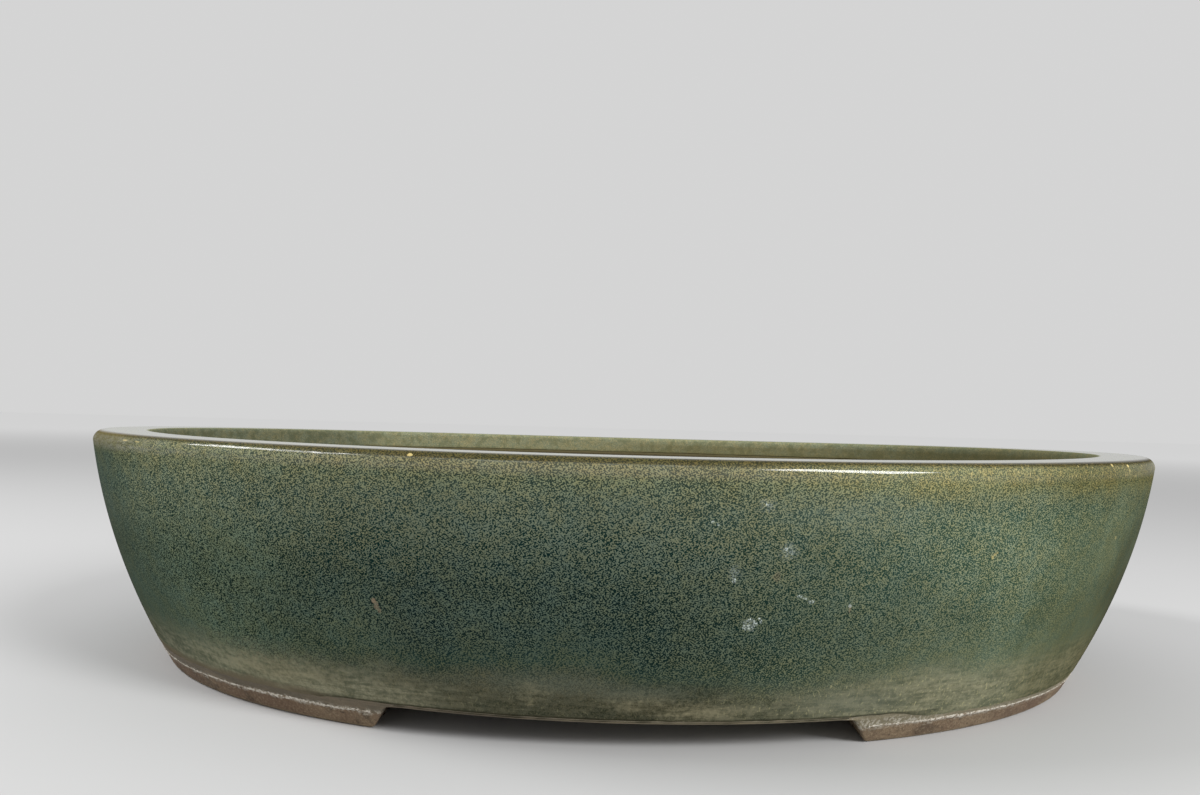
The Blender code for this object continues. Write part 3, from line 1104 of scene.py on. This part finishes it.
@dataclass
class ClayRim:
    """The clay core of the rim, whose underside shows under the lip."""

    form: PotForm
    covered: float = 0.00045
    clearance: float = 0.00005

    def build(self) -> bpy.types.Object:
        """Carry the core's section round the oval, one glaze thickness inside the rim's own section.

        Returns:
            The piece.
        """
        form, skin = self.form, self.covered
        low = form.height - form.rim_depth + self.clearance
        rise = np.linspace(low, form.shoulder, 5)
        outer = np.column_stack([form.outside(rise) + skin, rise])
        rounding = bend((form.rim_outer_radius, form.shoulder), form.rim_outer_radius - skin, 180, 90, 9)[1:]
        radius = form.rim_inner_radius
        top = bend((form.rim_breadth - radius, form.height - radius), radius - skin, 90, 0, 6)
        section = np.vstack([outer, rounding, top, [(form.rim_breadth - skin, low)]])
        return ring("clay_rim", form.sweep(section[:, 0], section[:, 1]))

    def dress(self, piece: bpy.types.Object, clay: bpy.types.Material) -> None:
        """Leave the clay bare and give it its place in the frame."""
        piece.data.materials.append(clay)
        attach(piece, "root")


@dataclass(frozen=True)
class Hole:
    """A round hole through the floor, with both of its edges rounded over."""

    x: float
    y: float
    radius: float
    edge: float
    sides: int

    @property
    def mouth(self) -> float:
        """Radius at the floor's faces."""
        return self.radius + self.edge

    def circle(self) -> Array:
        """Unit circle of the hole's sides, as rows of X and Y."""
        angle = np.linspace(0.0, FULL_TURN, self.sides, endpoint=False)
        return np.column_stack([np.cos(angle), np.sin(angle)])

    def away(self, points: Array) -> Array:
        """Distance of points from the hole's centre."""
        return np.hypot(points[..., 0] - self.x, points[..., 1] - self.y)


@dataclass
class ClayFloor:
    """The floor, with two drain holes and four wire holes, all with softened edges."""

    form: PotForm
    drain_diameter: float = 0.030
    drain_spacing: float = 0.180
    wire_diameter: float = 0.007
    wire_spacing: tuple[float, float] = (0.250, 0.090)
    grid: float = 0.005
    clearance: float = 0.00002
    uneven: float = 0.00016
    outline_sides: int = 240

    def holes(self) -> list[Hole]:
        """The drain hole and the two wire holes of each side."""
        found = []
        for side in (-1, 1):
            found.append(Hole(side * self.drain_spacing / 2, 0.0, self.drain_diameter / 2,
                              edge=0.0018, sides=64))
            for row in (-1, 1):
                found.append(Hole(side * self.wire_spacing[0] / 2, row * self.wire_spacing[1] / 2,
                                  self.wire_diameter / 2, edge=0.0009, sides=32))
        return found

    def lie(self, points: Array) -> Array:
        """Hand-smoothed unevenness: a few long waves of a third of a millimetre, then the firing's warp."""
        done = np.array(points, float)
        x, y = done[..., 0], done[..., 1]
        done[..., 2] += self.uneven * (np.sin(31.0 * x + 17.0 * y) + np.sin(57.0 * y - 23.0 * x + 1.3))
        return self.form.settle(done)

    def bore(self, hole: Hole, low: float, high: float) -> Array:
        """Inner face of a hole: an arc down from the upper face, the bore, and an arc out below.

        Args:
            hole: The hole.
            low: Height of the floor's lower face.
            high: Height of its upper face.

        Returns:
            Points as (sides, section, 3).
        """
        reach = np.concatenate([hole.radius + hole.edge * ARC_FALL, hole.radius + hole.edge * ARC_RISE])
        points = np.empty((hole.sides, reach.size, 3))
        points[..., :2] = hole.circle()[:, None, :] * reach[None, :, None] + (hole.x, hole.y)
        points[..., 2] = np.concatenate([high - hole.edge * ARC_RISE, low + hole.edge * ARC_FALL])
        return points

    def build(self) -> bpy.types.Object:
        """Triangulate both faces between outline and holes, and close them with bores and a band.

        Returns:
            The piece.
        """
        form, holes, mesh = self.form, self.holes(), Mesh()
        low, high = form.foot_height, form.foot_height + form.floor_thickness
        turn = np.linspace(0.0, FULL_TURN, self.outline_sides, endpoint=False)
        inset = float(form.outside(low)) + form.wall_thickness + self.clearance
        outline = np.column_stack(form.plan(turn, np.full_like(turn, inset)))
        loops = [outline] + [hole.circle() * hole.mouth + (hole.x, hole.y) for hole in holes]
        edges, start = [], 0
        for loop in loops:
            numbers = np.arange(len(loop)) + start
            edges.extend(np.column_stack([numbers, np.roll(numbers, -1)]).tolist())
            start += len(loop)
        flat = np.vstack(loops + [self.inner_points(outline, holes)])
        verts, _, faces, *_ = delaunay_2d_cdt([tuple(p) for p in flat.tolist()], edges, [], 0, 1e-9)
        plan = np.array([tuple(v) for v in verts])
        middles = [plan[list(face)].mean(axis=0) for face in faces]
        kept = [face for face, middle in zip(faces, middles)
                if all(hole.away(middle) > hole.mouth * math.cos(math.pi / hole.sides) for hole in holes)]
        for height in (high, low):
            level = np.column_stack([plan, np.full(len(plan), height)])
            numbers = mesh.add_points(self.lie(level))
            mesh.faces.extend([[int(numbers[i]) for i in face] for face in kept])
        band = np.stack([np.column_stack([outline, np.full(len(outline), h)]) for h in (high, low)], axis=1)
        for side in [self.bore(hole, low, high) for hole in holes] + [band]:
            mesh.add_quads(mesh.add_points(self.lie(side)), (True, False))
        return mesh.build("clay_floor", weld=2e-6)

    def inner_points(self, outline: Array, holes: list[Hole]) -> Array:
        """Grid points inside the outline and clear of every hole.

        Args:
            outline: The floor's outline, as rows of X and Y.
            holes: The holes.

        Returns:
            Rows of X and Y.
        """
        size = np.array([self.form.half_length, self.form.half_width])
        line = np.arange(-size[0], size[0], self.grid)
        points = np.stack(np.meshgrid(line, line), axis=-1).reshape(-1, 2)
        angle, around = [np.arctan2(*(rows / size).T[::-1]) for rows in (points, outline)]
        order = np.argsort(around)
        limit = np.interp(angle, around[order], np.hypot(*outline.T)[order], period=FULL_TURN)
        good = np.hypot(*points.T) < limit - 0.6 * self.grid
        for hole in holes:
            good &= hole.away(points) > hole.mouth + 0.4 * self.grid
        return points[good]

    def dress(self, piece: bpy.types.Object, clay: bpy.types.Material) -> None:
        """Leave the clay bare and give it its place in the frame."""
        piece.data.materials.append(clay)
        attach(piece, "root")
        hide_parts("floor_slab")


class Side(Enum):
    """Which end of the pot a foot carries."""

    LEFT = -1
    RIGHT = 1

    @property
    def whole(self) -> float:
        """Turn added to front angles, so that at the left end they run on from the back ones."""
        return FULL_TURN if self is Side.LEFT else 0.0


@dataclass
class ClayFoot:
    """One C-shaped foot: flush with the wall outside, sloped at both ends, soft at its lower edges."""

    form: PotForm
    side: Side
    face: float = 0.00020
    corner: float = 0.0010
    clearance: float = 0.00002
    fine_depth: float = 0.0026
    end_columns: int = 9
    run_columns: int = 260

    def outline(self, height: Array) -> tuple[Array, Array]:
        """Closed outlines of the foot at some heights.

        An outline runs along the outer face from the front end to the back end, round a quarter-circle
        corner, across the end, round the inner corner and back along the inner face. Towards the table
        it draws in by a quarter circle, which rounds the lower edge.

        Args:
            height: Heights, one for each outline.

        Returns:
            X and Y as (heights, points).
        """
        form, corner, height = self.form, self.corner, height[:, None]
        radius = form.foot_edge_radius
        short = np.clip(1.0 - height / radius, 0.0, 1.0)
        draw = radius * (1.0 - np.sqrt(np.clip(1.0 - short ** 2, 0.0, 1.0)))
        outer = form.outside(height) + self.face + draw
        inner = form.base_inset + form.foot_breadth - draw
        near, far = outer + corner * ARC_RISE, inner - corner * ARC_FALL
        across = np.linspace(0.0, 1.0, self.end_columns)[None, 1:-1]
        end_inset = np.hstack([near, near[:, -1:] + (far[:, :1] - near[:, -1:]) * across, far])
        end_back = np.concatenate([corner * ARC_FALL, np.zeros(across.size), corner * ARC_RISE])
        end_x = self.side.value * (form.cut_at(height) + draw + end_back)
        front = form.turn_at(end_x, end_inset, False) + self.side.whole
        back = form.turn_at(end_x, end_inset, True)
        share = np.linspace(0.0, 1.0, self.run_columns)[None, 1:-1]
        outer_turn = front[:, :1] + (back[:, :1] - front[:, :1]) * share
        inner_turn = back[:, -1:] + (front[:, -1:] - back[:, -1:]) * share
        turn = np.hstack([outer_turn, back, inner_turn, front[:, ::-1]])
        inset = np.hstack([np.broadcast_to(outer, outer_turn.shape), end_inset,
                           np.broadcast_to(inner, inner_turn.shape), end_inset[:, ::-1]])
        return form.plan(turn, inset)

    def build(self) -> bpy.types.Object:
        """Stack the outlines from the table to the wall and close them with a face below and above.

        Returns:
            The piece.
        """
        form, mesh = self.form, Mesh()
        top = form.foot_height - self.clearance
        edge = form.foot_edge_radius * (1.0 - np.cos(np.radians(np.linspace(0.0, 90.0, 7))))
        middle = np.linspace(form.foot_edge_radius, top - self.fine_depth, 8)[1:]
        upper = top - self.fine_depth * (1.0 - np.linspace(0.0, 1.0, 12)[1:]) ** 2
        height = np.concatenate([edge, middle, upper])
        x, y = self.outline(height)
        points = np.stack([x, y, np.broadcast_to(height[:, None], x.shape)], axis=-1)
        numbers = mesh.add_points(form.settle(points))
        mesh.add_quads(numbers, (False, True))
        runs, ends = self.run_columns - 2, 2 * QUARTER.size + self.end_columns - 2
        for row in (0, -1):
            outer, back, inner, front = np.split(numbers[row], [runs, runs + ends, 2 * runs + ends])
            mesh.add_quads(np.stack([outer, inner[::-1]]))
            mesh.faces.append([int(outer[-1]), *back.tolist(), int(inner[0])])
            mesh.faces.append([int(inner[-1]), *front.tolist(), int(outer[0])])
        return mesh.build("clay_foot_" + self.side.name.lower(), sharp=40.0)

    def dress(self, piece: bpy.types.Object, clay: bpy.types.Material) -> None:
        """Leave the clay bare and give it its place in the frame."""
        piece.data.materials.append(clay)
        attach(piece, "root")
        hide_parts("foot_" + self.side.name.lower())


@dataclass
class LimeCrust:
    """The broken white tide line that hard water leaves round one foot.

    Half holds the ribbon's plain half width, and what waves, the swelling and fraying add to it.
    Thick holds its plain thickness, and what the swelling and waves add to that.
    """

    form: PotForm
    side: Side
    height: float = 0.0063
    face: float = 0.00020
    swell_at: float = 0.112
    swell_reach: float = 0.013
    fray_place: tuple[float, float] = (0.135, 0.085)
    wander: float = 0.00034
    lumps: float = 0.00030
    half: tuple[float, ...] = (0.00030, 0.00010, 0.00038, 0.00034)
    thick: Triple = (0.00020, 0.00016, 0.00020)
    narrowest: float = 0.00010
    back_depth: float = 0.0002
    sunk: float = 0.00003
    columns: int = 2600

    def build(self) -> bpy.types.Object:
        """A lens-shaped ribbon along the foot's outer face, which sinks into the clay where it is broken.

        Its height, half width and thickness are sums of sines round the pot.

        Returns:
            The piece.
        """
        form, mesh, seed = self.form, Mesh(), 31 + self.side.value
        end = np.array(self.side.value * (form.half_cutout - 0.001))
        start = float(form.turn_at(end, np.array(form.base_inset), False))
        turn = np.linspace(start + self.side.whole, -start, self.columns)
        place = np.abs(form.plan(turn, np.full_like(turn, form.base_inset))[0])
        swell = np.exp(-((place - self.swell_at) / self.swell_reach) ** 2)
        middle = self.height + self.wander * ripple(turn, seed, (9, 17, 31, 53, 89, 139, 233, 347))
        fray = ripple(turn, seed + 5, (131, 263, 397, 541, 619, 787)) * smooth(*self.fray_place, place)
        plain, wavy, swollen, frayed = self.half
        half = plain + wavy * ripple(turn, seed + 3, (7, 13, 22)) + swollen * swell + frayed * fray
        half = np.clip(half, self.narrowest, None)
        lumps = self.lumps * np.abs(ripple(turn, seed + 7, (173, 311, 467, 653)))
        middle = middle + lumps * (0.3 + swell)
        plain, swollen, wavy = self.thick
        thick = plain + swollen * swell + wavy * ripple(turn, seed + 9, (17, 41, 97, 211, 401))
        loop = np.linspace(0.0, FULL_TURN, 12, endpoint=False)
        height = middle[:, None] + half[:, None] * np.cos(loop)[None, :]
        lift = np.where(np.sin(loop) > 0, np.sin(loop), 0.6 * np.sin(loop))[None, :]
        proud = np.where(lift > 0, lift * thick[:, None], lift * self.back_depth) - self.sunk
        x, y = form.plan(turn[:, None], form.outside(height) + self.face - proud)
        numbers = mesh.add_points(form.settle(np.stack([x, y, height], axis=-1)))
        mesh.add_quads(numbers, (False, True))
        mesh.faces.extend(numbers[[0, -1]].tolist())
        return mesh.build("lime_crust_" + self.side.name.lower())

    def dress(self, piece: bpy.types.Object, lime: bpy.types.Material) -> None:
        """Give the crust its scale and its place in the frame."""
        piece.data.materials.append(lime)
        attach(piece, "root")


# ---------------------------------------------------------------- studio


@dataclass
class Studio:
    """Pale floor, which grows paler far away to meet the sky, soft sky and two long soft lights."""

    near: Colour = paint(196, 196, 196)
    far: Colour = paint(252, 252, 252)
    sky: float = 0.66
    reach: float = 14.0
    aim: Triple = (0.0, -0.1, 0.09)
    distance: float = 1.6

    def ground(self) -> bpy.types.Material:
        """Mix the floor and return its material."""
        mix = Recipe("studio_floor")
        away = Level(mix, mix.vector("LENGTH", mix.place))
        mix.feed(mix.surface.inputs["Base Color"], mix.blend(away.step(0.6, 5.0), self.near, self.far))
        mix.feed(mix.surface.inputs["Roughness"], 0.9)
        mix.feed(mix.surface.inputs["Specular IOR Level"], 0.0)
        return mix.material

    def build(self) -> None:
        """Lay the floor, light the sky and hang the lights."""
        mesh, r = bpy.data.meshes.new("floor"), self.reach
        mesh.from_pydata([(-r, -r, 0.0), (r, -r, 0.0), (r, r, 0.0), (-r, r, 0.0)], [], [(0, 1, 2, 3)])
        mesh.materials.append(self.ground())
        floor = put("floor", mesh)
        world = bpy.data.worlds.new("sky")
        bpy.context.scene.world = world
        world.use_nodes = True
        background = world.node_tree.nodes["Background"]
        background.inputs["Color"].default_value = (1.0, 1.0, 1.0, 1.0)
        background.inputs["Strength"].default_value = self.sky
        self.hang("light_right", (0.62, -0.60, 0.50), (0.8, 0.42), 21.5, (0.8, 0.1, -0.6))
        self.hang("light_left", (-0.76, -0.03, 0.64), (0.9, 0.28), 12.5, (0.3, -1.0, 0.3))

    def hang(self, name: str, towards: Triple, size: tuple[float, float], power: float,
             long_axis: Triple) -> None:
        """Hang one rectangular light that faces the aim, a point at the height of the rim.

        Args:
            name: Name of the light.
            towards: Direction from the aim to the light.
            size: Its long and short sides.
            power: Its power in watts.
            long_axis: Direction of its long side.
        """
        light = bpy.data.lights.new(name, "AREA")
        light.shape, light.size, light.size_y = "RECTANGLE", size[0], size[1]
        light.energy = power
        back = np.array(towards, float) / np.linalg.norm(towards)
        along = np.array(long_axis, float)
        along -= back * (along @ back)
        along /= np.linalg.norm(along)
        put(name, light, (along, np.cross(back, along), back, np.array(self.aim) + back * self.distance))


@dataclass(frozen=True)
class ViewCamera:
    """The camera at the photograph's place, from the fit of the pot's outlines."""

    focal_pixels: float = 945.65
    frame_pixels: float = 1200.0
    sensor_width: float = 36.0
    place: Triple = (-0.00731, -0.43756, 0.10067)
    yaw: float = 0.00536
    pitch: float = -0.02534
    roll: float = -0.02685

    def build(self) -> None:
        """Aim the camera by its yaw, pitch and roll and make it the scene's own."""
        yaw, pitch, roll = self.yaw, self.pitch, self.roll
        flat = np.array([math.cos(yaw), math.sin(yaw), 0.0])
        level = math.cos(pitch)
        ahead = np.array([-math.sin(yaw) * level, math.cos(yaw) * level, -math.sin(pitch)])
        under = np.cross(ahead, flat)
        right = math.cos(roll) * flat + math.sin(roll) * under
        down = -math.sin(roll) * flat + math.cos(roll) * under
        lens = bpy.data.cameras.new("view")
        lens.sensor_fit, lens.sensor_width = "HORIZONTAL", self.sensor_width
        lens.lens = self.focal_pixels / self.frame_pixels * self.sensor_width
        lens.clip_start = 0.01
        bpy.context.scene.camera = put("view", lens, (right, -down, -ahead, np.array(self.place)))


def main() -> None:
    """Build and dress every piece in order."""
    logging.basicConfig(level=logging.INFO, format="%(message)s")
    ViewCamera().build()
    form = PotForm()
    coat = GlazeCoat(form)
    coat.dress(coat.build())
    clay = BareClay().make("bare_clay")
    lime = LimeScale().make()
    feet = [ClayFoot(form, side) for side in Side]
    for member in (ClayWall(form), ClayRim(form), ClayFloor(form), *feet):
        member.dress(member.build(), clay)
    for side in Side:
        crust = LimeCrust(form, side)
        crust.dress(crust.build(), lime)
    Studio().build()
    bpy.context.scene.view_settings.view_transform = "Standard"


if __name__ == "__main__":
    main()
